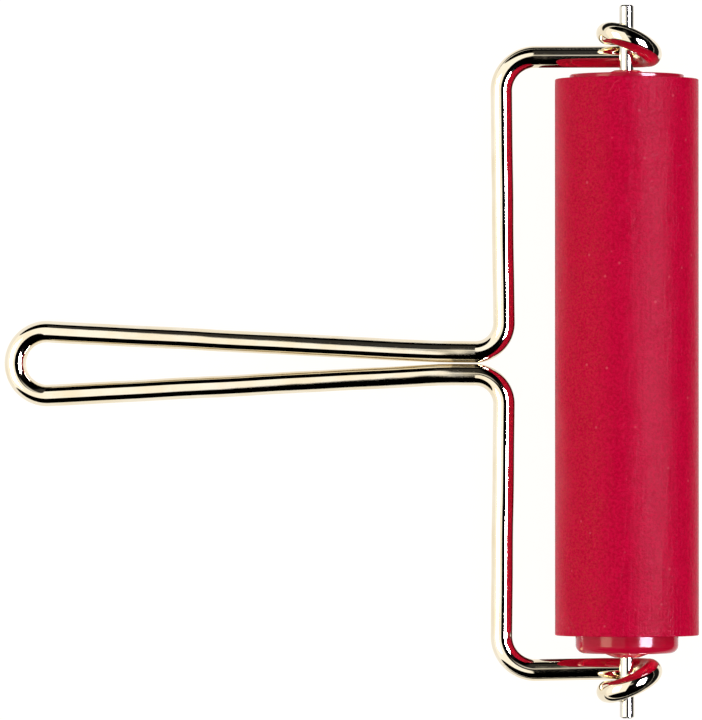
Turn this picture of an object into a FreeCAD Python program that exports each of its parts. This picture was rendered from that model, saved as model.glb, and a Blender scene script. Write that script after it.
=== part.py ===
# Rubber brayer: a rubber-covered roller that turns in the two eyes of a bent-wire handle.
# Millimetres. The brayer lies as it rests on a table: the roller's axle runs along Y with its left
# end at +Y, the handle reaches to -X and down to the table, and +Z is up. The origin is on the
# table, under the middle of the brayer's outline.
import FreeCAD, Part
import Sketcher
import math
import os

from FreeCAD import Placement, Rotation, Vector

drivingSizes = {
    # rubber sleeve
    "sleeveLength": 152.0,
    "sleeveDiameter": 39.3,
    "sleeveEdge": 0.3,  # rounding of the cut ends
    "sleeveShift": 1.82,  # how far the sleeve sits left of the core's middle
    # plastic core: a tube with a plug in each end, the left one with a flange past the sleeve
    "coreDiameter": 28.1,
    "coreOverhang": 3.05,  # each core end past the sleeve's, if the sleeve were centred
    "tubeWall": 2.5,
    "plugRim": 7.0,  # depth of the full-width part of a plug
    "plugSpigot": 14.0,  # depth of the part that is pressed into the tube
    "plugWall": 2.0,
    "plugWeb": 3.0,
    "plugEdge": 2.3,  # rounding of the right rim
    "flangeDiameter": 31.3,
    "flangeEdge": 0.35,
    "hubDiameter": 9.0,  # inside a plug, round the axle
    "bossDiameter": 12.4,  # at its foot; the boss is a low cone
    "bossHeight": 1.2,
    "bossFoot": 0.15,  # straight part below the cone
    "bossRun": 2.9,  # how far the cone comes in
    "fitClearance": 0.0,  # radial, between pieces that are pressed or glued together
    # axle rod
    "axleDiameter": 4.0,
    "leftTail": 4.7,  # free length past the left eye
    "rightTail": 4.2,
    "axleChamfer": 0.4,
    # bent wire
    "wireDiameter": 6.0,
    "eyePlay": 2.05,  # eye's hole less the axle's diameter
    "eyeForward": 0.66,  # eye's middle ahead of the axle's
    "eyeDrop": 0.45,  # eye's middle below the axle's
    "leftGap": 1.07,  # between the left boss and the eye beside it
    "rightGap": 0.27,
    "coilGap": 0.08,  # between neighbouring turns of an eye
    "coilClimbStart": 62.0,  # degrees round the eye where the wire starts to step outwards
    "coilClimbEnd": 240.0,
    "coilEnd": 350.0,
    "leftSplay": 0.05,  # how much further out an arm is at the yoke than at the eye
    "rightSplay": 0.6,
    "armStraight": 8.0,  # straight stretch of an arm beside the eye
    "yokeGap": 12.0,  # between the sleeve and the yoke
    "yokeLean": 0.9,  # yoke's middle nearer to the roller than its corners
    "cornerRadius": 9.3,  # middle line of the yoke's outer corners
    "bendRadius": 8.0,  # middle line of the bends where the yoke meets the neck
    "handleShift": 0.25,  # how far the handle sits left of the core's middle
    "handleLength": 133.9,  # from the yoke's middle line to the loop's
    "loopRadius": 8.8,  # middle line of the loop's end
    "neckGap": 0.25,  # between the two wires where they run side by side
    "neckLength": 10.0,
    "slightBendRadius": 150.0,  # where a run of the wire turns by only a few degrees
}

stepFolder = "parts"
climbSpans = 6  # pairs of arcs in an eye's outward step
tiny = 1e-6  # mm, for telling whether two points or two directions are one
toLeft = Rotation(Vector(1, 0, 0), -90)  # turns a piece made along Z to point along +Y
toRight = Rotation(Vector(1, 0, 0), 90)  # and along -Y

doc = FreeCAD.newDocument("rubber_brayer")
sheet = doc.addObject("Spreadsheet::Sheet", "sizes")


def fillSheet():
    """Writes each driving size into its own cell, under its own alias."""
    for row, (alias, number) in enumerate(drivingSizes.items(), start=1):
        sheet.set(f"A{row}", alias)
        sheet.set(f"B{row}", str(number))
        sheet.setAlias(f"B{row}", alias)
    doc.recompute()


def size(alias):
    return float(sheet.get(alias))


def newBody(name):
    body = doc.addObject("PartDesign::Body", name)
    body.Label = name
    return body


def roundSketch(body, name, diameters, height="0 mm"):
    """A sketch of concentric circles across the body's Z axis, at a height along it."""
    sketch = body.newObject("Sketcher::SketchObject", name)
    plane = next(item for item in body.Origin.OriginFeatures if item.Role == "XY_Plane")
    sketch.AttachmentSupport = [(plane, "")]
    sketch.MapMode = "FlatFace"
    sketch.setExpression("AttachmentOffset.Base.z", height)
    for index, diameter in enumerate(diameters):
        sketch.addGeometry(Part.Circle(Vector(0, 0, 0), Vector(0, 0, 1), 10.0 - index), False)
        sketch.addConstraint(Sketcher.Constraint("Coincident", index, 3, -1, 1))
        datum = sketch.addConstraint(Sketcher.Constraint("Diameter", index, 2 * (10.0 - index)))
        sketch.setExpression(f"Constraints[{datum}]", diameter)
    return sketch


def pad(body, name, diameters, length, midplane=False, reverse=False, height="0 mm"):
    feature = body.newObject("PartDesign::Pad", name)
    feature.Profile = roundSketch(body, f"{name}Sketch", diameters, height)
    feature.setExpression("Length", length)
    feature.Midplane = midplane
    feature.Reversed = reverse
    return feature


def pocket(body, name, diameters, depth, midplane=False, reverse=False, height="0 mm"):
    feature = body.newObject("PartDesign::Pocket", name)
    feature.Profile = roundSketch(body, f"{name}Sketch", diameters, height)
    feature.setExpression("Length", depth)
    feature.Midplane = midplane
    feature.Reversed = reverse
    return feature


def roundEdges(shape, radius, heights):
    """Names of the shape's whole round edges of this radius at these heights along Z."""
    found = []
    for number, edge in enumerate(shape.Edges, start=1):
        curve = edge.Curve
        if not isinstance(curve, Part.Circle) or abs(curve.Radius - radius) > tiny:
            continue
        if any(abs(curve.Center.z - height) < tiny for height in heights):
            found.append(f"Edge{number}")
    return found


def dressEdges(body, kind, name, radius, heights, sizeName, expression):
    """Rounds or bevels the body's round edges of this radius at these heights."""
    doc.recompute()
    base = body.Tip
    feature = body.newObject(f"PartDesign::{kind}", name)
    feature.Base = (base, roundEdges(base.Shape, radius, heights))
    feature.setExpression(sizeName, expression)
    return feature


def makeRubberSleeve():
    body = newBody("rubber_sleeve")
    pad(
        body,
        "sleeveTube",
        ["sizes.sleeveDiameter", "sizes.coreDiameter + 2 * sizes.fitClearance"],
        "sizes.sleeveLength",
        midplane=True,
    )
    ends = [size("sleeveLength") / 2, -size("sleeveLength") / 2]
    radius = size("sleeveDiameter") / 2
    dressEdges(body, "Fillet", "sleeveEnds", radius, ends, "Radius", "sizes.sleeveEdge")
    return body


def makeCoreTube():
    body = newBody("core_tube")
    pad(
        body,
        "coreWall",
        ["sizes.coreDiameter", "sizes.coreDiameter - 2 * sizes.tubeWall"],
        "sizes.sleeveLength + 2 * sizes.coreOverhang - 2 * sizes.plugRim",
        midplane=True,
    )
    return body


def coneEdge(body, name, radius, height, along, inwards):
    """Cuts the round edge at this height to a cone: so far down along Z, and so far inwards."""
    feature = dressEdges(body, "Chamfer", name, radius, [height], "Size", along)
    feature.ChamferType = "Two distances"
    feature.setExpression("Size2", inwards)
    return feature


def makeEndPlug(name, flanged):
    """A moulded plug, its outer face at z = 0 and its hub standing out along +Z."""
    body = newBody(name)
    inTube = "sizes.coreDiameter - 2 * sizes.tubeWall - 2 * sizes.fitClearance"
    depth = "(sizes.plugRim + sizes.plugSpigot)"
    pad(body, "rim", ["sizes.coreDiameter"], "sizes.plugRim", reverse=True)
    if flanged:
        flangeDepth = "sizes.coreOverhang - sizes.sleeveShift"
        pad(body, "flange", ["sizes.flangeDiameter"], flangeDepth, reverse=True)
    pad(body, "spigot", [inTube], depth, reverse=True)
    pad(body, "boss", ["sizes.bossDiameter"], "sizes.bossHeight")
    pocket(
        body,
        "recess",
        [f"{inTube} - 2 * sizes.plugWall", "sizes.hubDiameter"],
        f"{depth} - sizes.plugWeb",
        reverse=True,
        height=f"-{depth}",
    )
    pocket(
        body,
        "bore",
        ["sizes.axleDiameter + 2 * sizes.fitClearance"],
        f"3 * {depth}",
        midplane=True,
    )
    if flanged:
        radius = size("flangeDiameter") / 2
        dressEdges(body, "Fillet", "flangeEdge", radius, [0], "Radius", "sizes.flangeEdge")
    else:
        radius = size("coreDiameter") / 2
        dressEdges(body, "Fillet", "rimEdge", radius, [0], "Radius", "sizes.plugEdge")
    bossRadius = size("bossDiameter") / 2
    coneHeight = "sizes.bossHeight - sizes.bossFoot"
    coneEdge(body, "bossCone", bossRadius, size("bossHeight"), coneHeight, "sizes.bossRun")
    return body


def armOffset(side):
    """From the core's middle to the middle line of the left (1) or the right (-1) arm."""
    core = size("sleeveLength") / 2 + size("coreOverhang")
    gap = size("leftGap") if side > 0 else size("rightGap")
    return core + size("bossHeight") + gap + size("wireDiameter") / 2


def coilPitch():
    return size("wireDiameter") + size("coilGap")


def makeAxleRod():
    body = newBody("axle_rod")
    core = "2 * (sizes.sleeveLength / 2 + sizes.coreOverhang + sizes.bossHeight)"
    gaps = "sizes.leftGap + sizes.rightGap"
    eyes = "2 * (2 * sizes.wireDiameter + sizes.coilGap)"
    length = f"{core} + {gaps} + {eyes} + sizes.leftTail + sizes.rightTail"
    rodPad = pad(body, "rod", ["sizes.axleDiameter"], length, midplane=True)
    doc.recompute()
    ends = [rodPad.Length.Value / 2, -rodPad.Length.Value / 2]
    radius = size("axleDiameter") / 2
    dressEdges(body, "Chamfer", "rodEnds", radius, ends, "Size", "sizes.axleChamfer")
    return body


def tangentArc(start, corner, end):
    """The arc from start to end that touches both lines to the corner, which are equally long."""
    middle = (start + end) * 0.5
    halfChord = (end - start).Length / 2
    towards = corner - middle
    rise = halfChord * math.tan(math.atan2(towards.Length, halfChord) / 2)
    return Part.Arc(start, middle + towards.normalize() * rise, end).toShape()


def roundedPath(start, corners, end):
    """Edges from start to end: straight runs, with a tangent arc of its own radius at each corner."""
    points = [start, *(corner for corner, _ in corners), end]
    edges = []
    here = start
    for number, (corner, radius) in enumerate(corners, start=1):
        before = (corner - points[number - 1]).normalize()
        after = (points[number + 1] - corner).normalize()
        turn = before.getAngle(after)
        if turn < tiny:
            continue
        reach = radius * math.tan(turn / 2)
        arcStart = corner - before * reach
        arcEnd = corner + after * reach
        if (arcStart - here).Length > tiny:
            edges.append(Part.LineSegment(here, arcStart).toShape())
        edges.append(tangentArc(arcStart, corner, arcEnd))
        here = arcEnd
    if (end - here).Length > tiny:
        edges.append(Part.LineSegment(here, end).toShape())
    return edges


def coilRadius():
    """Middle line of the wire in an eye."""
    return (size("axleDiameter") + size("eyePlay") + size("wireDiameter")) / 2


def coilPoint(angle, side, arm):
    """Point and direction of the eye's middle line, at this many degrees from the underside.

    The wire goes forward under the axle, up, back over it and down, and steps outwards once."""
    radius = coilRadius()
    span = size("coilClimbEnd") - size("coilClimbStart")
    share = min(max((angle - size("coilClimbStart")) / span, 0.0), 1.0)
    climb = coilPitch() * share * share * (3 - 2 * share)
    climbRate = coilPitch() * 6 * share * (1 - share) / math.radians(span)
    turn = math.radians(angle)
    point = Vector(radius * math.sin(turn), side * (arm + climb), -radius * math.cos(turn))
    direction = Vector(radius * math.cos(turn), side * climbRate, radius * math.sin(turn))
    return point, direction.normalize()


def twoArcs(start, startWay, end, endWay):
    """Two arcs in space from start to end that meet smoothly, with these directions at the ends."""
    across = end - start
    ways = startWay + endWay
    bend = 2 * (1 - startWay.dot(endWay))
    along = across.dot(ways)
    reach = (math.sqrt(along * along + bend * across.dot(across)) - along) / bend
    first = start + startWay * reach
    second = end - endWay * reach
    joint = (first + second) * 0.5
    return [tangentArc(start, first, joint), tangentArc(joint, second, end)]


def eyeEdges(side, arm):
    """The eye's edges from the shank to the wire's cut end."""
    climb = [size("coilClimbStart"), size("coilClimbEnd")]
    step = (climb[1] - climb[0]) / climbSpans
    angles = [0.0, *(climb[0] + step * number for number in range(climbSpans + 1))]
    lastSpan = (size("coilEnd") - climb[1]) / 2
    angles += [climb[1] + lastSpan, size("coilEnd")]
    edges = []
    for before, after in zip(angles, angles[1:]):
        edges += twoArcs(*coilPoint(before, side, arm), *coilPoint(after, side, arm))
    return edges


def yokeReach():
    """From an eye's middle back to the middle line of the yoke's corners."""
    fromAxle = size("sleeveDiameter") / 2 + size("yokeGap") + size("wireDiameter") / 2
    return fromAxle + size("eyeForward")


def halfWire(side, splay):
    """Edges of one half of the wire, from the end of the handle's loop to the eye's cut end.

    The eyes' axis is the Y axis here, and the flat part lies as far below it as an eye's radius."""
    level = -coilRadius()
    arm = armOffset(side)
    shift = size("handleShift")
    yoke = -yokeReach()
    yokeMiddle = yoke + size("yokeLean")
    loopEnd = yoke - size("handleLength")
    loopRadius = size("loopRadius")
    halfNeck = (size("wireDiameter") + size("neckGap")) / 2
    neckEnd = yokeMiddle - size("bendRadius") - size("neckLength")
    # the leg's line touches the loop's circle and passes through the end of the neck
    legSpan = neckEnd - (loopEnd + loopRadius)
    taper = math.asin(loopRadius / math.hypot(legSpan, halfNeck)) - math.atan2(halfNeck, legSpan)
    loopCorner = loopRadius * math.tan((math.pi / 2 + taper) / 2)
    start = Vector(loopEnd, shift, level)
    end, _ = coilPoint(0.0, side, arm)
    corners = [
        (Vector(loopEnd, shift + side * loopCorner, level), loopRadius),
        (Vector(neckEnd, shift + side * halfNeck, level), size("slightBendRadius")),
        (Vector(yokeMiddle, shift + side * halfNeck, level), size("bendRadius")),
        (Vector(yoke, side * (arm + splay), level), size("cornerRadius")),
        (Vector(-size("armStraight"), side * arm, level), size("slightBendRadius")),
    ]
    return roundedPath(start, corners, end) + eyeEdges(side, arm)


def handleSlope():
    """Angle, in radians, at which the flat part slopes to bring the handle's end to the table."""
    eyeHeight = size("sleeveDiameter") / 2 - size("eyeDrop")
    reach = yokeReach() + size("handleLength")
    slant = math.hypot(reach, coilRadius())
    drop = eyeHeight - size("wireDiameter") / 2
    return math.asin(drop / slant) - math.atan2(coilRadius(), reach)


def handleSpan(slope):
    """Level distance from the eyes' axis to the handle's outermost end."""
    reach = yokeReach() + size("handleLength")
    return reach * math.cos(slope) - coilRadius() * math.sin(slope) + size("wireDiameter") / 2


def makeWireFrame():
    """The wire, swept along its middle line as one piece from eye to eye."""
    edges = halfWire(1, size("leftSplay")) + halfWire(-1, size("rightSplay"))
    path = doc.addObject("Part::Feature", "wireMiddleLine")
    path.Shape = Part.Wire(Part.__sortEdges__(edges))
    first = path.Shape.OrderedEdges[0]
    cutEnd = path.Shape.OrderedVertexes[0].Point
    way = first.tangentAt(first.FirstParameter)
    section = doc.addObject("Part::Circle", "wireSection")
    section.setExpression("Radius", "sizes.wireDiameter / 2")
    section.Placement = Placement(cutEnd, Rotation(Vector(0, 0, 1), way))
    sweep = doc.addObject("Part::Sweep", "wire_frame")
    sweep.Label = "wire_frame"
    sweep.Sections = [section]
    sweep.Spine = (path, [f"Edge{number}" for number in range(1, len(edges) + 1)])
    sweep.Solid = True
    sweep.Frenet = False
    doc.recompute()
    drawn = math.pi * (size("wireDiameter") / 2) ** 2 * path.Shape.Length
    print(f"wire {path.Shape.Length:.1f} mm long, {sweep.Shape.Volume:.1f} of {drawn:.1f} mm3")
    return sweep


fillSheet()

slope = handleSlope()
rollerRadius = size("sleeveDiameter") / 2
axleX = (handleSpan(slope) - size("eyeForward") - rollerRadius) / 2
axleZ = rollerRadius
leftEnd = size("leftGap") + size("leftTail")
rightEnd = size("rightGap") + size("rightTail")
coreY = -(leftEnd - rightEnd) / 2  # the rod is the brayer's widest piece, and its middle is at Y 0
coreEnd = size("sleeveLength") / 2 + size("coreOverhang")

sleeve = makeRubberSleeve()
sleeve.Placement = Placement(Vector(axleX, coreY + size("sleeveShift"), axleZ), toLeft)
tube = makeCoreTube()
tube.Placement = Placement(Vector(axleX, coreY, axleZ), toLeft)
leftPlug = makeEndPlug("end_plug_left", True)
leftPlug.Placement = Placement(Vector(axleX, coreY + coreEnd, axleZ), toLeft)
rightPlug = makeEndPlug("end_plug_right", False)
rightPlug.Placement = Placement(Vector(axleX, coreY - coreEnd, axleZ), toRight)
rod = makeAxleRod()
rod.Placement = Placement(Vector(axleX, 0, axleZ), toLeft)
frame = makeWireFrame()
eyeMiddle = Vector(axleX + size("eyeForward"), coreY, axleZ - size("eyeDrop"))
frame.Placement = Placement(eyeMiddle, Rotation(Vector(0, 1, 0), -math.degrees(slope)))

doc.recompute()
for item in doc.Objects:
    if "Invalid" in item.State or "Error" in item.State:
        raise RuntimeError(f"{item.Label} failed: {item.State}")

subParts = [frame, rod, tube, leftPlug, rightPlug, sleeve]
for part in subParts:
    if part.Shape.isNull() or not part.Shape.isValid():
        raise RuntimeError(f"{part.Label} has no valid shape")

os.makedirs(stepFolder, exist_ok=True)
for part in subParts:
    part.Shape.exportStep(os.path.join(stepFolder, f"{part.Label}.step"))
    box = part.Shape.optimalBoundingBox(False)
    print(
        f"{part.Label}: {len(part.Shape.Solids)} solid, {part.Shape.Volume:.0f} mm3, "
        f"x {box.XMin:.2f} {box.XMax:.2f}, y {box.YMin:.2f} {box.YMax:.2f}, "
        f"z {box.ZMin:.2f} {box.ZMax:.2f}"
    )
print(f"axle at x {axleX:.3f}, z {axleZ:.3f}; the handle slopes {math.degrees(slope):.3f} degrees")
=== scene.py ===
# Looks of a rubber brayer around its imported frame: a bent, plated wire whose two eyes carry a
# steel rod, and on the rod a plastic core with a red rubber sleeve. Metres, in the frame's axes:
# the axle runs along Y, the handle reaches to -X and down to the table, and Z is up.
import math

import bpy
import numpy as np
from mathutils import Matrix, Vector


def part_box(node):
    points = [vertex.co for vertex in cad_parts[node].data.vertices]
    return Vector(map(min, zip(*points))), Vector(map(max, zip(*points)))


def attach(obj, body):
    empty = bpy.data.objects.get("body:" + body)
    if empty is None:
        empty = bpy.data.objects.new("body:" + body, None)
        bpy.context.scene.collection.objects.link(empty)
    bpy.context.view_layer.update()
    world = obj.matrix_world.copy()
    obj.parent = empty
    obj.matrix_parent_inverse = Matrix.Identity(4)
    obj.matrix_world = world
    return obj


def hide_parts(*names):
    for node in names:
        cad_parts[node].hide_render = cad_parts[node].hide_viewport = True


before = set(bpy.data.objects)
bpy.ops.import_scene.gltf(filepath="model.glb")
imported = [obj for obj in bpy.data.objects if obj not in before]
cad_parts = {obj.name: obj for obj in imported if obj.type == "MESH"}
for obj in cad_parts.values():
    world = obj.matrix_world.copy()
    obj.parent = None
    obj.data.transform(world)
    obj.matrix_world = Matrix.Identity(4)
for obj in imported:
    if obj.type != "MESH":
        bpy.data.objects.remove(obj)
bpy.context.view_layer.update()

print("frame loaded")

mm = 0.001
degree = math.pi / 180

rodLow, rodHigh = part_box("axle_rod")
sleeveLow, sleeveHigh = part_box("rubber_sleeve")
coreLow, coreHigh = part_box("core_tube")
leftLow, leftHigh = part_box("end_plug_left")
rightLow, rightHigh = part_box("end_plug_right")
axleX = (rodLow.x + rodHigh.x) / 2
axleZ = (rodLow.z + rodHigh.z) / 2
rollerRadius = (sleeveHigh.z - sleeveLow.z) / 2
coreRadius = (coreHigh.z - coreLow.z) / 2
rodRadius = (rodHigh.z - rodLow.z) / 2


# Stations along straight runs joined by tangent arcs, as complex numbers: at each corner an arc of
# its radius starts and ends radius * tan(turn / 2) from the corner. Gives places and directions.
def bentLine(corners, radii, straightStep, arcStep):
    places = [np.array([corners[0]])]
    ways = []
    here = corners[0]
    for before, corner, after, radius in zip(corners, corners[1:], corners[2:], radii):
        wayIn = (corner - before) / abs(corner - before)
        wayOut = (after - corner) / abs(after - corner)
        turn = float(np.angle(wayOut / wayIn))
        arcStart = corner - wayIn * radius * math.tan(abs(turn) / 2)
        addRun(places, ways, here, arcStart, wayIn, straightStep)
        centre = arcStart + wayIn * 1j * math.copysign(radius, turn)
        share = np.linspace(0, 1, max(2, math.ceil(abs(turn) / arcStep)) + 1)
        places.append((centre + (arcStart - centre) * np.exp(1j * turn * share))[1:])
        ways.append((wayIn * np.exp(1j * turn * share))[1:])
        here = places[-1][-1]
    wayOut = (corners[-1] - here) / abs(corners[-1] - here)
    addRun(places, ways, here, corners[-1], wayOut, straightStep)
    ways.insert(0, ways[0][:1])
    return np.concatenate(places), np.concatenate(ways)


# A straight run from here to there, in equal steps; the first place is already in the list.
def addRun(places, ways, here, there, way, step):
    count = math.ceil(abs(there - here) / step)
    if abs(there - here) > 1e-9:
        places.append(here + (there - here) * np.linspace(0, 1, count + 1)[1:])
        ways.append(np.full(count, way))


# A mesh from a grid of places, rows by columns, closed round its columns. Its rows also close, or
# end in a pole at each end. Columns turn so that the faces look outwards. The UV map holds the
# length along the rows and the share of a turn round the columns.
def gridMesh(name, places, normals, along, poles=None):
    rows, columns = places.shape[:2]
    last = rows if poles is None else rows - 1
    row, column = np.meshgrid(np.arange(last), np.arange(columns), indexing="ij")
    row, column = row.ravel(), column.ravel()
    nextRow, nextColumn = (row + 1) % rows, (column + 1) % columns
    corners = [(row, column), (row, nextColumn), (nextRow, nextColumn), (nextRow, column)]
    faces = np.stack([r * columns + c for r, c in corners], 1).tolist()
    share = column / columns
    nextShare = (column + 1) / columns
    ends = np.stack([along[row], share, along[row], nextShare], 1)
    starts = np.stack([along[row + 1], nextShare, along[row + 1], share], 1)
    uv = [np.concatenate([ends, starts], 1).reshape(-1, 2)]
    allPlaces, allNormals = places.reshape(-1, 3), normals.reshape(-1, 3)
    if poles is not None:
        first, final = rows * columns, rows * columns + 1
        ring = np.arange(columns)
        nextRing = (ring + 1) % columns
        top = (rows - 1) * columns
        faces += np.stack([np.full(columns, first), nextRing, ring], 1).tolist()
        faces += np.stack([top + ring, top + nextRing, np.full(columns, final)], 1).tolist()
        share = (ring + 0.5) / columns
        for where, order in ((along[0], (0.5, 1, 0)), (along[-1], (0, 1, 0.5))):
            turns = [(ring + step) / columns for step in order]
            capUv = np.stack([np.stack([np.full(columns, where), turn], 1) for turn in turns], 1)
            uv.append(capUv.reshape(-1, 2))
        allPlaces = np.concatenate([allPlaces, poles[0]])
        allNormals = np.concatenate([allNormals, poles[1]])
    mesh = bpy.data.meshes.new(name)
    mesh.from_pydata(allPlaces.tolist(), [], faces)
    mesh.uv_layers.new(name="UVMap").data.foreach_set("uv", np.concatenate(uv).ravel())
    mesh.polygons.foreach_set("use_smooth", np.ones(len(faces), bool))
    mesh.normals_split_custom_set_from_vertices(allNormals.tolist())
    piece = bpy.data.objects.new(name, mesh)
    bpy.context.scene.collection.objects.link(piece)
    return piece


# A profile turned round the axle. The profile's real part is the place along Y and its imaginary
# part the radius; outside the material is on the profile's left.
def turned(name, profile, ways, columns, closed):
    outward = ways * 1j
    poles = None
    along = np.concatenate([[0], np.cumsum(abs(np.diff(profile)))])
    if closed:
        profile, outward = profile[:-1], outward[:-1]
    else:
        ends = np.array([[axleX, profile[0].real, axleZ], [axleX, profile[-1].real, axleZ]])
        poles = ends, np.array([[0.0, -1.0, 0.0], [0.0, 1.0, 0.0]])
        profile, outward, along = profile[1:-1], outward[1:-1], along[1:-1]
    turn = np.linspace(0, 2 * math.pi, columns, endpoint=False)
    sine, cosine = np.sin(turn)[None, :], np.cos(turn)[None, :]
    flat = np.ones_like(sine)
    radius, way = profile.imag[:, None], outward.imag[:, None]
    places = np.stack(
        [axleX + radius * sine, profile.real[:, None] * flat, axleZ + radius * cosine], 2
    )
    normals = np.stack([way * sine, outward.real[:, None] * flat, way * cosine], 2)
    return gridMesh(name, places, normals, along, poles)


# A round section carried along a line: each ring stands across the line's direction, its zero
# towards `up`, and shrinks over the last bit to round the cut ends.
def carried(name, line, ways, ups, radius, endRounding, columns):
    along = np.concatenate([[0], np.cumsum(np.linalg.norm(np.diff(line, axis=0), axis=1))])
    toEnd = np.minimum(along, along[-1] - along)
    hidden = np.clip(endRounding - toEnd, 0, None)
    drop = endRounding - np.sqrt(np.clip(endRounding**2 - hidden**2, 0, None))
    ring = (radius - drop)[:, None, None]
    across = np.cross(ways, ups)
    turn = np.linspace(0, 2 * math.pi, columns, endpoint=False) + math.pi
    side = ups[:, None] * np.cos(turn)[:, None] + across[:, None] * np.sin(turn)[:, None]
    lean = np.where(along < along[-1] / 2, -1, 1) * hidden / endRounding
    lean = lean[:, None, None]
    normals = side * np.sqrt(1 - lean**2) + ways[:, None] * lean
    poles = line[[0, -1]], np.array([-ways[0], ways[-1]])
    return gridMesh(name, line[:, None] + side * ring, normals, along, poles)


wire = {  # millimetres and degrees; 1 is the left side and -1 the right
    "diameter": 6.0,
    "eyePlay": 2.05,  # eye's hole less the rod's diameter
    "eyeForward": 0.66,  # eye's middle ahead of the axle's
    "eyeDrop": 0.45,  # eye's middle below the axle's
    "sideGap": {1: 1.07, -1: 0.27},  # between a plug's boss and the eye beside it
    "coilGap": 0.08,  # between neighbouring turns of an eye
    "coilClimb": (62, 240),  # where the wire steps outwards, round the eye from its underside
    "coilEnd": 350,
    "splay": {1: 0.05, -1: 0.6},  # how much further out an arm is at the yoke
    "armStraight": 8.0,
    "yokeGap": 12.0,  # between the sleeve and the yoke
    "yokeLean": 0.9,  # yoke's middle nearer to the roller than its corners
    "cornerRadius": 9.3,
    "bendRadius": 8.0,
    "handleShift": 0.25,  # how far the handle sits left of the roller's middle
    "handleLength": 133.9,  # from the yoke's middle line to the loop's
    "loopRadius": 8.8,
    "neckGap": 0.25,
    "neckLength": 10.0,
    "slightBendRadius": 150.0,
    "straightStep": 2.0,
    "arcStep": 2.5,
    "endRounding": 0.35,
    "endStations": 6,  # close together, for the cut ends' rounding
    "columns": 72,
    "waver": 0.03,  # how far a straight run wanders
    "waverClear": 70.0,  # nothing wanders nearer than this to a cut end
    "waverFade": 40.0,  # and from there it grows over this length
    # the waves' length over a full turn, shift and share
    "wavesAcross": ((6.1, 0, 1), (3.7, 1, 0.7), (9.3, 2, 0.5)),
    "wavesUp": ((7.3, 4, 0.5), (4.3, 0, 0.3)),
}
wireRadius = wire["diameter"] / 2
eyeRadius = (2 * rodRadius / mm + wire["eyePlay"] + wire["diameter"]) / 2  # middle line
yokeReach = rollerRadius / mm + wire["yokeGap"] + wireRadius + wire["eyeForward"]
coreMiddleY = (leftHigh.y + rightLow.y) / 2
halfCore = (leftHigh.y - rightLow.y) / 2 / mm
armOffset = {side: halfCore + gap + wireRadius for side, gap in wire["sideGap"].items()}


# 0 to 1 with a level start and end: 3 share^2 - 2 share^3.
def eased(share):
    return share**2 * (3 - 2 * share)


# Slope of the flat part: the angle that brings the handle's end down to the table.
def handleSlope():
    drop = axleZ / mm - wire["eyeDrop"] - wireRadius
    reach = yokeReach + wire["handleLength"]
    return math.asin(drop / math.hypot(reach, eyeRadius)) - math.atan2(eyeRadius, reach)


# One half of the flat part, from the loop's end to the eye, as stations in its own plane.
def flatHalf(side):
    yokeMiddle = -yokeReach + wire["yokeLean"]
    loopEnd = -yokeReach - wire["handleLength"]
    loopRadius = wire["loopRadius"]
    halfNeck = (wire["diameter"] + wire["neckGap"]) / 2
    neckEnd = yokeMiddle - wire["bendRadius"] - wire["neckLength"]
    span = neckEnd - (loopEnd + loopRadius)
    taper = math.asin(loopRadius / math.hypot(span, halfNeck)) - math.atan2(halfNeck, span)
    loopCorner = loopRadius * math.tan((math.pi / 2 + taper) / 2)
    slight, bend = wire["slightBendRadius"], wire["bendRadius"]
    arm, shift = armOffset[side], wire["handleShift"]
    corners = [
        complex(loopEnd, shift),
        complex(loopEnd, shift + side * loopCorner),
        complex(neckEnd, shift + side * halfNeck),
        complex(yokeMiddle, shift + side * halfNeck),
        complex(-yokeReach, side * (arm + wire["splay"][side])),
        complex(-wire["armStraight"], side * arm),
        complex(0, side * arm),
    ]
    radii = [loopRadius, slight, bend, wire["cornerRadius"], slight]
    return bentLine(corners, radii, wire["straightStep"], wire["arcStep"] * degree)


# Turns of an eye: a circle in the plane across the axle that steps outwards once, smoothly,
# by the wire's thickness and the gap between turns.
def eyeHalf(side):
    count = math.ceil(wire["coilEnd"] / wire["arcStep"])
    turn = np.linspace(0, wire["coilEnd"] * degree, count + 1)[1:]
    start, end = (angle * degree for angle in wire["coilClimb"])
    share = np.clip((turn - start) / (end - start), 0, 1)
    pitch = wire["diameter"] + wire["coilGap"]
    climb = pitch * eased(share)
    climbRate = pitch * 6 * share * (1 - share) / (end - start)
    sine, cosine = np.sin(turn), np.cos(turn)
    line = np.stack([eyeRadius * sine, side * (armOffset[side] + climb), -eyeRadius * cosine], 1)
    ways = np.stack([eyeRadius * cosine, side * climbRate, eyeRadius * sine], 1)
    ups = np.stack([-sine, np.zeros_like(turn), cosine], 1)
    return line, ways / np.linalg.norm(ways, axis=1, keepdims=True), ups


# One half of the wire: the flat run a little below the eye's middle, then the eye's turns, with
# close stations at the cut end. Gives the line, its directions and the way to each ring's zero.
def wireHalf(side):
    flat, flatWays = flatHalf(side)
    level = np.full(len(flat), -eyeRadius)
    line = np.stack([flat.real, flat.imag, level], 1)
    ways = np.stack([flatWays.real, flatWays.imag, np.zeros(len(flat))], 1)
    ways[0] = [0, side, 0]
    ups = np.tile([0.0, 0.0, 1.0], (len(flat), 1))
    eyeLine, eyeWays, eyeUps = eyeHalf(side)
    count = wire["endStations"]
    quarter = np.linspace(math.pi / 2, 0, count)
    back = wire["endRounding"] * (1 - np.cos(quarter))[:, None]
    eyeLine = np.concatenate([eyeLine[:-1], eyeLine[-1] - eyeWays[-1] * back])
    eyeWays = np.concatenate([eyeWays[:-1], np.repeat(eyeWays[-1:], count, 0)])
    eyeUps = np.concatenate([eyeUps[:-1], np.repeat(eyeUps[-1:], count, 0)])
    line = np.concatenate([line, eyeLine])
    return line, np.concatenate([ways, eyeWays]), np.concatenate([ups, eyeUps])


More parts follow.
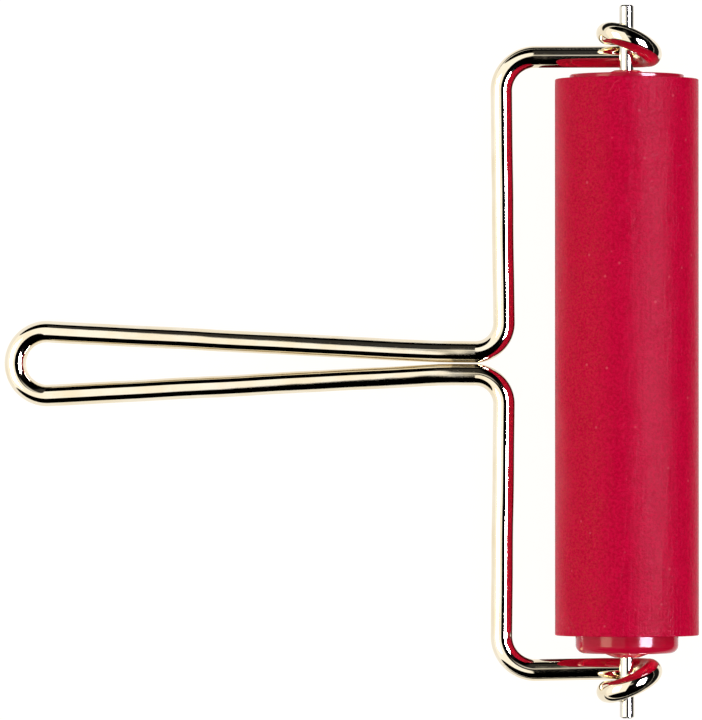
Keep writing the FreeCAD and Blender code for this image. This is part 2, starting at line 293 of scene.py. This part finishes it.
# A sum of slow waves: share * sin(along / length + shift).
def waves(along, parts):
    return sum(share * np.sin(along / length + shift) for length, shift, share in parts)


# Small wandering of the straight runs, sideways and up, that dies out towards the eyes.
def waver(line, ways, ups):
    along = np.concatenate([[0], np.cumsum(np.linalg.norm(np.diff(line, axis=0), axis=1))])
    toEnd = np.minimum(along, along[-1] - along)
    fade = np.clip((toEnd - wire["waverClear"]) / wire["waverFade"], 0, 1)
    size = (eased(fade) * wire["waver"])[:, None]
    sideways = waves(along, wire["wavesAcross"])[:, None]
    upwards = waves(along, wire["wavesUp"])[:, None]
    return line + np.cross(ways, ups) * size * sideways + ups * size * upwards


# The whole wire: both halves end to end, tilted about Y by the slope and moved to the eyes' middle,
# with a round section carried along it.
def buildWire():
    left, leftWays, leftUps = wireHalf(1)
    right, rightWays, rightUps = wireHalf(-1)
    line = np.concatenate([left[::-1], right[1:]])
    ways = np.concatenate([-leftWays[::-1], rightWays[1:]])
    ups = np.concatenate([leftUps[::-1], rightUps[1:]])
    line = waver(line, ways, ups)
    sine, cosine = math.sin(handleSlope()), math.cos(handleSlope())
    tilt = np.array([[cosine, 0, -sine], [0, 1, 0], [sine, 0, cosine]])
    middle = [axleX + wire["eyeForward"] * mm, coreMiddleY, axleZ - wire["eyeDrop"] * mm]
    line = line @ tilt.T * mm + middle
    ways, ups = ways @ tilt.T, ups @ tilt.T
    radius, rounding = wireRadius * mm, wire["endRounding"] * mm
    return carried("wireFrame", line, ways, ups, radius, rounding, wire["columns"])


sleeve = {  # millimetres and degrees
    "edge": 0.3,
    "boreEdge": 0.15,
    "step": 4.0,
    "arcStep": 15.0,
    "columns": 320,
}


# The sleeve: a rectangle with rounded corners, from the core's radius to the roller's, turned.
def buildSleeve():
    low, high = sleeveLow.y, sleeveHigh.y
    middle = (low + high) / 2
    corners = [
        complex(middle, rollerRadius),
        complex(high, rollerRadius),
        complex(high, coreRadius),
        complex(low, coreRadius),
        complex(low, rollerRadius),
        complex(middle, rollerRadius),
    ]
    edge, boreEdge = sleeve["edge"] * mm, sleeve["boreEdge"] * mm
    radii = [edge, boreEdge, boreEdge, edge]
    step, arcStep = sleeve["step"] * mm, sleeve["arcStep"] * degree
    profile, ways = bentLine(corners, radii, step, arcStep)
    return turned("rubberSleeve", profile, ways, sleeve["columns"], True)


plug = {  # millimetres and degrees
    "rim": 7.0,  # length that is as wide as the core
    "rimEdge": 2.3,
    "flangeDiameter": 31.3,
    "flangeEdge": 0.35,
    "tubeWall": 2.5,
    "wall": 2.0,
    "web": 3.0,
    "hubDiameter": 9.0,
    "bossDiameter": 12.4,
    "bossHeight": 1.2,
    "bossFoot": 0.15,  # height of the step at the cone's foot
    "bossRun": 2.9,  # how far in the cone reaches
    "bossEdge": 0.5,
    "footEdge": 0.03,
    "small": 0.12,  # rounding of the other edges
    "step": 2.0,
    "arcStep": 9.0,
    "columns": 192,
}


# A plug's outline, from its outer face over the rim, along the spigot, round the hub inside and
# back through the bore to the boss's cone. A flanged plug's rim first steps down behind the
# sleeve's end. `out` is +1 where its outer face looks to +Y.
def buildPlug(name, low, high, out, flangeDepth):
    length = (high - low) / mm
    face = length - plug["bossHeight"]
    core, bore = coreRadius / mm, rodRadius / mm
    boss, hub = plug["bossDiameter"] / 2, plug["hubDiameter"] / 2
    spigot = core - plug["tubeWall"]
    inner = spigot - plug["wall"]
    web = face - plug["web"]
    small = plug["small"]
    if flangeDepth > 0:
        flange = plug["flangeDiameter"] / 2
        rim = [
            (face, flange, plug["flangeEdge"]),
            (face - flangeDepth, flange, small),
            (face - flangeDepth, core, small),
        ]
    else:
        rim = [(face, core, plug["rimEdge"])]
    outline = [
        (face, (boss + core) / 2, 0),
        *rim,
        (face - plug["rim"], core, small),
        (face - plug["rim"], spigot, small),
        (0, spigot, small),
        (0, inner, small),
        (web, inner, small),
        (web, hub, small),
        (0, hub, small),
        (0, bore, small),
        (length, bore, small),
        (length, boss - plug["bossRun"], plug["bossEdge"]),
        (face + plug["bossFoot"], boss, small),
        (face, boss, plug["footEdge"]),
        (face, (boss + core) / 2, 0),
    ]
    start = low if out > 0 else high
    corners = [complex(start + out * y * mm, r * mm) for y, r, _ in outline]
    radii = [edge * mm for _, _, edge in outline[1:-1]]
    if out > 0:
        corners, radii = corners[::-1], radii[::-1]
    profile, ways = bentLine(corners, radii, plug["step"] * mm, plug["arcStep"] * degree)
    return turned(name, profile, ways, plug["columns"], True)


rod = {  # millimetres and degrees
    "bevel": 0.4,
    "bevelEdge": 0.08,
    "step": 3.0,
    "arcStep": 9.0,
    "columns": 96,
}


# The rod: a straight line at its radius, with a bevel down to a flat end at each side, turned.
def buildRod():
    bevel, edge = rod["bevel"] * mm, rod["bevelEdge"] * mm
    low, high = rodLow.y, rodHigh.y
    corners = [
        complex(low, 0),
        complex(low, rodRadius - bevel),
        complex(low + bevel, rodRadius),
        complex(high - bevel, rodRadius),
        complex(high, rodRadius - bevel),
        complex(high, 0),
    ]
    profile, ways = bentLine(corners, [edge] * 4, rod["step"] * mm, rod["arcStep"] * degree)
    return turned("axleRod", profile, ways, rod["columns"], False)


# A shader socket that takes part in sums: an operator adds the Math node that works it out.
class Signal:
    def __init__(self, tree, socket):
        self.tree = tree
        self.socket = socket

    def worked(self, operation, first, second=None):
        sockets = {0: first} if second is None else {0: first, 1: second}
        return addNode(self.tree, "ShaderNodeMath", {"operation": operation}, sockets)

    def __add__(self, other):
        return self.worked("ADD", self, other)

    def __radd__(self, other):
        return self.worked("ADD", other, self)

    def __sub__(self, other):
        return self.worked("SUBTRACT", self, other)

    def __rsub__(self, other):
        return self.worked("SUBTRACT", other, self)

    def __mul__(self, other):
        return self.worked("MULTIPLY", self, other)

    def __rmul__(self, other):
        return self.worked("MULTIPLY", other, self)

    def __truediv__(self, other):
        return self.worked("DIVIDE", self, other)

    def __abs__(self):
        return self.worked("ABSOLUTE", self)


# Any node: its settings are set first, then its sockets' values or links. Gives one output.
def addNode(tree, kind, settings=None, sockets=None, output=0):
    node = tree.nodes.new(kind)
    for name, value in (settings or {}).items():
        setattr(node, name, value)
    for key, value in (sockets or {}).items():
        if isinstance(value, Signal):
            tree.links.new(value.socket, node.inputs[key])
        else:
            node.inputs[key].default_value = value
    return Signal(tree, node.outputs[output]) if node.outputs else None


# The first colour where the share is 0 and the second where it is 1.
def mixed(tree, share, first, second):
    settings = {"data_type": "RGBA"}
    sockets = {0: share, 6: colour(first), 7: colour(second)}
    return addNode(tree, "ShaderNodeMix", settings, sockets, 2)


def colour(value):
    return value if isinstance(value, Signal) else (*value, 1.0)


# One part of a vector: 0, 1 or 2 for its X, Y or Z.
def part(tree, vector, axis):
    return addNode(tree, "ShaderNodeSeparateXYZ", None, {0: vector}, axis)


def noise(tree, vector, scale, detail=2.0, roughness=0.5, distortion=0.0):
    sockets = {
        "Vector": vector,
        "Scale": scale,
        "Detail": detail,
        "Roughness": roughness,
        "Distortion": distortion,
    }
    return addNode(tree, "ShaderNodeTexNoise", None, sockets)


# 0 below low, 1 above high, with a smooth step between.
def step(tree, value, low, high):
    settings = {"interpolation_type": "SMOOTHSTEP"}
    sockets = {"Value": value, "From Min": low, "From Max": high}
    return addNode(tree, "ShaderNodeMapRange", settings, sockets)


# 1 inside the band and 0 outside it, each edge softened over `soft`.
def band(tree, value, low, high, soft):
    inside = step(tree, value, low - soft / 2, low + soft / 2)
    return inside * (1 - step(tree, value, high - soft / 2, high + soft / 2))


# Object coordinates, moved so that the axle's middle is the origin, and stretched.
def aroundAxle(tree, stretch=(1, 1, 1)):
    place = addNode(tree, "ShaderNodeTexCoord", None, None, 3)
    kind = "ShaderNodeVectorMath"
    middle = (axleX, coreMiddleY, axleZ)
    moved = addNode(tree, kind, {"operation": "SUBTRACT"}, {0: place, 1: middle})
    return addNode(tree, kind, {"operation": "MULTIPLY"}, {0: moved, 1: stretch})


# Coordinates that follow the piece: its length, and a circle for the turn round it, both in
# millimetres and stretched, so that nothing shows where the turn closes.
def alongPiece(tree, radius, lengthStretch, turnStretch):
    uv = addNode(tree, "ShaderNodeUVMap", {"uv_map": "UVMap"})
    along = part(tree, uv, 0) * (lengthStretch / mm)
    turn = part(tree, uv, 1) * (2 * math.pi)
    size = radius * turnStretch
    cosine, sine = turn.worked("COSINE", turn), turn.worked("SINE", turn)
    sockets = {0: along, 1: cosine * size, 2: sine * size}
    return addNode(tree, "ShaderNodeCombineXYZ", None, sockets)


def newMaterial(name):
    material = bpy.data.materials.new(name)
    material.use_nodes = True
    material.node_tree.nodes.clear()
    return material, material.node_tree


def finishMaterial(tree, sockets):
    surface = addNode(tree, "ShaderNodeBsdfPrincipled", None, sockets)
    addNode(tree, "ShaderNodeOutputMaterial", None, {"Surface": surface})


# A relief of this depth, on top of another one where that is given.
def bumped(tree, height, depth, under=None):
    sockets = {"Height": height, "Distance": depth, "Strength": 1.0}
    if under is not None:
        sockets["Normal"] = under
    return addNode(tree, "ShaderNodeBump", None, sockets)


plating = {
    "warm": (0.80, 0.70, 0.51),
    "pale": (0.84, 0.77, 0.63),
    "roughness": 0.03,
    "drawnLines": 0.025,  # how much the drawing lines roughen it
}

rodFinish = {
    "warm": (0.66, 0.62, 0.54),
    "pale": (0.74, 0.72, 0.66),
    "roughness": 0.06,
    "drawnLines": 0.05,
}

metalPattern = {  # each pattern's stretch along a piece and round it, per millimetre
    "lines": (0.03, 4.0),
    "cloud": (0.12, 0.25),
    "smudge": (0.35, 0.6),
    "waves": (0.09, 0.35),
    "cloudEdges": (0.3, 0.7),
    "smudgeEdges": (0.52, 0.78),
    "smudgeRoughness": 0.03,
    "lineDepth": 0.0012,  # millimetres
    "waveDepth": 0.02,
}


# Shiny metal: slow clouds between its two tones, roughened by drawing lines and smudges, with a
# relief of the lines on slow waves.
def platedMetal(name, radius, tone):
    material, tree = newMaterial(name)
    linesAt, cloudAt, smudgeAt, wavesAt = (
        alongPiece(tree, radius, *metalPattern[which])
        for which in ("lines", "cloud", "smudge", "waves")
    )
    lines = noise(tree, linesAt, 1.0, 3.0, 0.6)
    cloud = step(tree, noise(tree, cloudAt, 1.0, 3.0, 0.55), *metalPattern["cloudEdges"])
    smudge = noise(tree, smudgeAt, 1.0, 4.0, 0.6, 0.5)
    worn = step(tree, smudge, *metalPattern["smudgeEdges"])
    base = mixed(tree, cloud, tone["warm"], tone["pale"])
    rough = tone["roughness"] + lines * tone["drawnLines"]
    rough = rough + worn * metalPattern["smudgeRoughness"]
    fine = bumped(tree, lines, metalPattern["lineDepth"] * mm)
    slow = noise(tree, wavesAt, 1.0, 1.0)
    normal = bumped(tree, slow, metalPattern["waveDepth"] * mm, fine)
    sockets = {"Base Color": base, "Metallic": 1.0, "Roughness": rough, "Normal": normal}
    finishMaterial(tree, sockets)
    return material


rubber = {
    "deep": (0.445, 0.0001, 0.026),
    "light": (0.600, 0.0020, 0.045),
    # paler, warmer red of the side towards the fill light: partly an uneven tone, partly painted
    # sheen
    "toneAndSheen": (0.56, 0.028, 0.034),
    "dust": (0.66, 0.09, 0.13),
    "roughness": 0.165,
    "specular": 0.0120,
    "mottle": 1300,  # how fine each pattern is: its scale in one metre
    "patches": 150,
    "grain": 2800,
    "speckle": 1900,
    "specks": 230,
    "scratchPlaces": 95,
    "streaks": (1100, 60, 1100),
    "scratches": (150, 60, 150),
    "toneAndSheenEdges": (-0.58, -0.22),  # where the side with painted sheen fades, in radii from the axle
    "toneAndSheenShare": 0.5,
    "speckShare": 0.55,
    "scratchShare": 0.3,
    "streakRoughness": 0.30,
    "markGloss": 0.1,  # how much less rough the marks are
    "grainDepth": 0.34,  # millimetres
    "streakDepth": 0.20,
}


# Matt rubber: a fine mottle between two reds, a paler, warmer side that is partly an uneven
# tone and partly painted sheen from the fill light, specks and short scratches on top, and a
# relief of grain on streaks that run along the axle.
def sleeveRubber():
    material, tree = newMaterial("sleeve_rubber")
    place = aroundAxle(tree)
    mottle = noise(tree, place, rubber["mottle"], 2.0, 0.65)
    patches = noise(tree, place, rubber["patches"], 3.0, 0.6)
    streaks = noise(tree, aroundAxle(tree, rubber["streaks"]), 1.0, 2.0, 0.6)
    grain = noise(tree, place, rubber["grain"], 2.0, 0.6)
    share = step(tree, mottle * 0.6 + patches * 0.15 + grain * 0.25, 0.38, 0.62)
    base = mixed(tree, share, rubber["deep"], rubber["light"])
    # the side towards -X and the fill light, speckled a little paler and warmer: partly an uneven
    # tone, partly painted sheen
    across = part(tree, place, 0) / rollerRadius + (patches - 0.5) * 0.5
    toneAndSheen = 1 - step(tree, across, *rubber["toneAndSheenEdges"])
    speckle = step(tree, noise(tree, place, rubber["speckle"], 2.0, 0.7), 0.44, 0.60)
    base = mixed(tree, toneAndSheen * speckle * rubber["toneAndSheenShare"], base, rubber["toneAndSheen"])
    # specks of dust and pin holes, in about two thirds of the cells
    cells = {"Vector": place, "Scale": rubber["specks"], "Randomness": 1.0}
    distance = addNode(tree, "ShaderNodeTexVoronoi", None, cells, 0)
    chosen = part(tree, addNode(tree, "ShaderNodeTexVoronoi", None, cells, 1), 0)
    speck = (1 - step(tree, distance, 0.05, 0.12)) * step(tree, chosen, 0.33, 0.35)
    # short scratches: thin lines where a slow, bent noise passes its middle value
    swirl = noise(tree, aroundAxle(tree, rubber["scratches"]), 1.0, 1.0, 0.5, 1.5)
    gate = step(tree, noise(tree, place, rubber["scratchPlaces"], 1.0), 0.70, 0.74)
    scratch = (1 - step(tree, abs(swirl - 0.5), 0.0, 0.006)) * gate
    marks = speck * rubber["speckShare"] + scratch * rubber["scratchShare"]
    base = mixed(tree, marks, base, rubber["dust"])
    rough = rubber["roughness"] + (streaks - 0.5) * rubber["streakRoughness"]
    rough = rough - marks * rubber["markGloss"]
    coarse = bumped(tree, streaks, rubber["streakDepth"] * mm)
    normal = bumped(tree, mottle * 0.7 + grain * 0.3, rubber["grainDepth"] * mm, coarse)
    finishMaterial(
        tree,
        {
            "Base Color": base,
            "Roughness": rough,
            "Specular IOR Level": rubber["specular"],
            "Normal": normal,
        },
    )
    return material


plastic = {
    "deep": (0.490, 0.0008, 0.026),
    "light": (0.540, 0.0034, 0.036),
    "roughness": 0.10,
    "specular": 0.16,
    "flow": (160, 700, 160),  # the patterns' scales in one metre
    "grain": 1500,
    "scuffs": 420,
    "flowRoughness": 0.08,
    "scuffRoughness": 0.12,
    "relief": 0.008,  # millimetres
}


# Moulded plastic: flow bands round the axle between two reds, scuffed, with a very fine relief.
def corePlastic():
    material, tree = newMaterial("core_plastic")
    place = aroundAxle(tree)
    flow = noise(tree, aroundAxle(tree, plastic["flow"]), 1.0, 3.0, 0.6)
    grain = noise(tree, place, plastic["grain"], 2.0, 0.5)
    base = mixed(tree, step(tree, flow, 0.3, 0.7), plastic["deep"], plastic["light"])
    scuffs = step(tree, noise(tree, place, plastic["scuffs"], 4.0, 0.7), 0.55, 0.75)
    rough = plastic["roughness"] + flow * plastic["flowRoughness"]
    rough = rough + scuffs * plastic["scuffRoughness"]
    normal = bumped(tree, grain * 0.5 + flow * 0.5, plastic["relief"] * mm)
    finishMaterial(
        tree,
        {
            "Base Color": base,
            "Roughness": rough,
            "Specular IOR Level": plastic["specular"],
            "Normal": normal,
        },
    )
    return material


studio = {
    "air": (1.0, 0.985, 0.96),  # the white tent round the table
    "ambient": 1.25,  # its strength as it lights matt surfaces
    "sideLoss": 0.85,  # how much less of that comes level with the table along Y
    "sideEdges": (15, 70),  # degrees towards Y over which that grows
    "belowLoss": 0.10,  # how much less comes back up from the table
    "horizonSoft": 0.05,
    "tent": 1.25,  # the tent's strength as it is seen in shiny surfaces
    "gap": -6.05,  # dark from here to the horizon, degrees towards +X
    "gapSoft": 0.3,
    "slits": ((9.0, 20.0, 0.55), (27.0, 66.0, 0.03)),  # light through the gap: from, to, share
    "slitSoft": 3,
    "slitEnd": (0, 10),  # degrees towards +X over which the slits close
    "leftDark": (42.0, 85.0),  # dark strip towards +Y
    "rightDark": (-96.0, -34.0),  # dark strip towards -Y
    "sideSoft": 2.5,
    "tableHalf": 30.0,  # metres
    "tableGlow": 0.96,
    "tableColour": (0.10, 0.10, 0.10),
    "tableRoughness": 0.8,
}


# The tent. A direction is told by how many degrees it leans towards +X and towards +Y. The camera
# sees it plain white, matt surfaces get its even light, and the rest see its dark parts.
def buildWorld():
    world = bpy.data.worlds.new("tent")
    bpy.context.scene.world = world
    world.use_nodes = True
    tree = world.node_tree
    tree.nodes.clear()
    way = addNode(tree, "ShaderNodeTexCoord", None, None, 0)
    x, y, z = (part(tree, way, axis) for axis in range(3))
    towardsX = x.worked("ARCSINE", x) / degree
    towardsY = y.worked("ARCSINE", y) / degree
    soft, sideSoft = studio["gapSoft"], studio["sideSoft"]
    gap = step(tree, towardsX, studio["gap"] - soft, studio["gap"] + soft)
    overhead = gap * (1 - step(tree, towardsX, *studio["slitEnd"]))
    left = band(tree, towardsY, *studio["leftDark"], sideSoft)
    right = band(tree, towardsY, *studio["rightDark"], sideSoft)
    slit, glow = (
        band(tree, towardsY, low, high, studio["slitSoft"]) * share
        for low, high, share in studio["slits"]
    )
    lit = (1 - gap) * (1 - left) * (1 - right) + overhead * (slit + glow)
    below = 1 - step(tree, z, -studio["horizonSoft"], studio["horizonSoft"])
    sideways = step(tree, abs(towardsY), *studio["sideEdges"])
    dimming = (1 - studio["sideLoss"] * sideways) * (1 - studio["belowLoss"] * below)
    matt = studio["ambient"] * dimming
    toCamera = addNode(tree, "ShaderNodeLightPath", None, None, "Is Camera Ray")
    toMatt = addNode(tree, "ShaderNodeLightPath", None, None, "Is Diffuse Ray")
    seen = (1 - toMatt) * lit * studio["tent"] + toMatt * matt
    strength = toCamera + (1 - toCamera) * seen
    sockets = {"Color": colour(studio["air"]), "Strength": strength}
    light = addNode(tree, "ShaderNodeBackground", None, sockets)
    addNode(tree, "ShaderNodeOutputWorld", None, {"Surface": light})


# A wide table that glows evenly and takes a little shadow.
def buildFloor():
    half = studio["tableHalf"]
    corners = [(-half, -half, 0), (half, -half, 0), (half, half, 0), (-half, half, 0)]
    mesh = bpy.data.meshes.new("table")
    mesh.from_pydata(corners, [], [(0, 1, 2, 3)])
    floor = bpy.data.objects.new("table", mesh)
    bpy.context.scene.collection.objects.link(floor)
    material, tree = newMaterial("table_top")
    finishMaterial(
        tree,
        {
            "Base Color": colour(studio["tableColour"]),
            "Roughness": studio["tableRoughness"],
            "Specular IOR Level": 0.0,
            "Emission Color": colour(studio["air"]),
            "Emission Strength": studio["tableGlow"],
        },
    )
    mesh.materials.append(material)
    floor.visible_diffuse = False


softBoxes = {  # degrees from overhead towards +X, and metres
    "key": {
        "angle": 43.5,
        "distance": 1.1,
        "width": 0.52,
        "length": 0.70,
        "radiance": 84.0,
        "tint": (0.80, 0.78, 1.0),
    },
    "fill": {
        "angle": -47,
        "distance": 1.2,
        "width": 0.56,
        "length": 0.90,
        "radiance": 10.0,
        "tint": (1.0, 0.97, 0.66),
    },
}


# A soft box that faces the table's middle. It is seen in shiny surfaces only; the tent lights the
# matt ones evenly.
def softBox(name, angle, distance, width, length, radiance, tint):
    data = bpy.data.lights.new(name, "AREA")
    data.shape = "RECTANGLE"
    data.size, data.size_y = width, length
    data.energy = radiance * math.pi * width * length
    data.color = tint
    light = bpy.data.objects.new(name, data)
    turn = angle * degree
    light.location = (distance * math.sin(turn), 0, distance * math.cos(turn))
    light.rotation_euler = (0, turn, 0)
    light.visible_diffuse = False
    light.visible_camera = False
    bpy.context.scene.collection.objects.link(light)


cardHeight = 0.0005
# the corners towards -X -Y and towards +X +Y, in metres, and the tint
cards = {
    "card_far": ((0.118, -0.7), (1.6, 0.7), (0.01, 0.01, 0.01)),
    # under the roller: a painted shadow, dark red for the light the roller throws onto the shaded
    # table
    "card_roller_shadow": ((0.052, -0.076), (0.099, 0.077), (0.10, 0.003, 0.008)),
    "card_left": ((-0.02, 0.110), (0.118, 0.6), (0.01, 0.01, 0.01)),
    "card_right": ((-0.02, -0.6), (0.118, -0.130), (0.01, 0.01, 0.01)),
}


# A dark card lying on the table, seen only in shiny surfaces: one far to the roller's right, one
# under it that paints the roller's shadow and red bounce on the table, and one past each arm.
def darkCard(name, low, high, tint):
    outline = [low, (high[0], low[1]), high, (low[0], high[1])]
    mesh = bpy.data.meshes.new(name)
    mesh.from_pydata([(*corner, cardHeight) for corner in outline], [], [(0, 1, 2, 3)])
    card = bpy.data.objects.new(name, mesh)
    bpy.context.scene.collection.objects.link(card)
    material, tree = newMaterial(name)
    matt = {"Base Color": colour(tint), "Roughness": 1.0, "Specular IOR Level": 0.0}
    finishMaterial(tree, matt)
    mesh.materials.append(material)
    card.visible_camera = False
    card.visible_diffuse = False
    card.visible_shadow = False


view = {  # metres
    "height": 2.011,  # above the axle
    "y": -0.024,
    "target": (-0.0754, 0.0004),  # what it looks at: from the axle along X, and along Y
    "seen": 0.1968,  # what the view takes in, along Y
    "sensor": 36,  # millimetres
    "clipEnd": 100,
}


# A camera above the object, leaning a little: its lens is sensor * height / seen.
def buildCamera():
    height, y = view["height"], view["y"]
    fromAxle, targetY = view["target"]
    data = bpy.data.cameras.new("camera")
    data.sensor_width = view["sensor"]
    data.lens = view["sensor"] * height / view["seen"]
    data.clip_end = view["clipEnd"]
    camera = bpy.data.objects.new("camera", data)
    camera.location = (axleX + fromAxle, y, axleZ + height)
    camera.rotation_euler = (math.atan((targetY - y) / height), 0, 0)
    bpy.context.scene.collection.objects.link(camera)
    bpy.context.scene.camera = camera


# A piece's body, the CAD piece it stands for and its material.
def dress(piece, body, node, material):
    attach(piece, body)
    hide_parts(node)
    piece.data.materials.append(material)
    print(piece.name, "made")


metal = platedMetal("plated_wire", wireRadius, plating)
steel = platedMetal("axle_steel", rodRadius / mm, rodFinish)
red = sleeveRubber()
gloss = corePlastic()
print("materials made")

dress(buildWire(), "frame", "wire_frame", metal)
dress(buildRod(), "roller", "axle_rod", steel)
dress(buildSleeve(), "roller", "rubber_sleeve", red)
# the left plug's face stands out of the sleeve, and its flange is that deep
flangeDepth = leftHigh.y / mm - plug["bossHeight"] - sleeveHigh.y / mm
leftPlug = buildPlug("endPlugLeft", leftLow.y, leftHigh.y, 1, flangeDepth)
dress(leftPlug, "roller", "end_plug_left", gloss)
rightPlug = buildPlug("endPlugRight", rightLow.y, rightHigh.y, -1, 0)
dress(rightPlug, "roller", "end_plug_right", gloss)

# the core tube keeps its own mesh, hidden inside the sleeve and the plugs
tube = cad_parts["core_tube"]
tube.data.materials.clear()
tube.data.materials.append(gloss)

buildWorld()
buildFloor()
for name, (low, high, tint) in cards.items():
    darkCard(name, low, high, tint)
for name, box in softBoxes.items():
    softBox(name, **box)
buildCamera()
bpy.context.scene.view_settings.view_transform = "Standard"
print("studio lit")
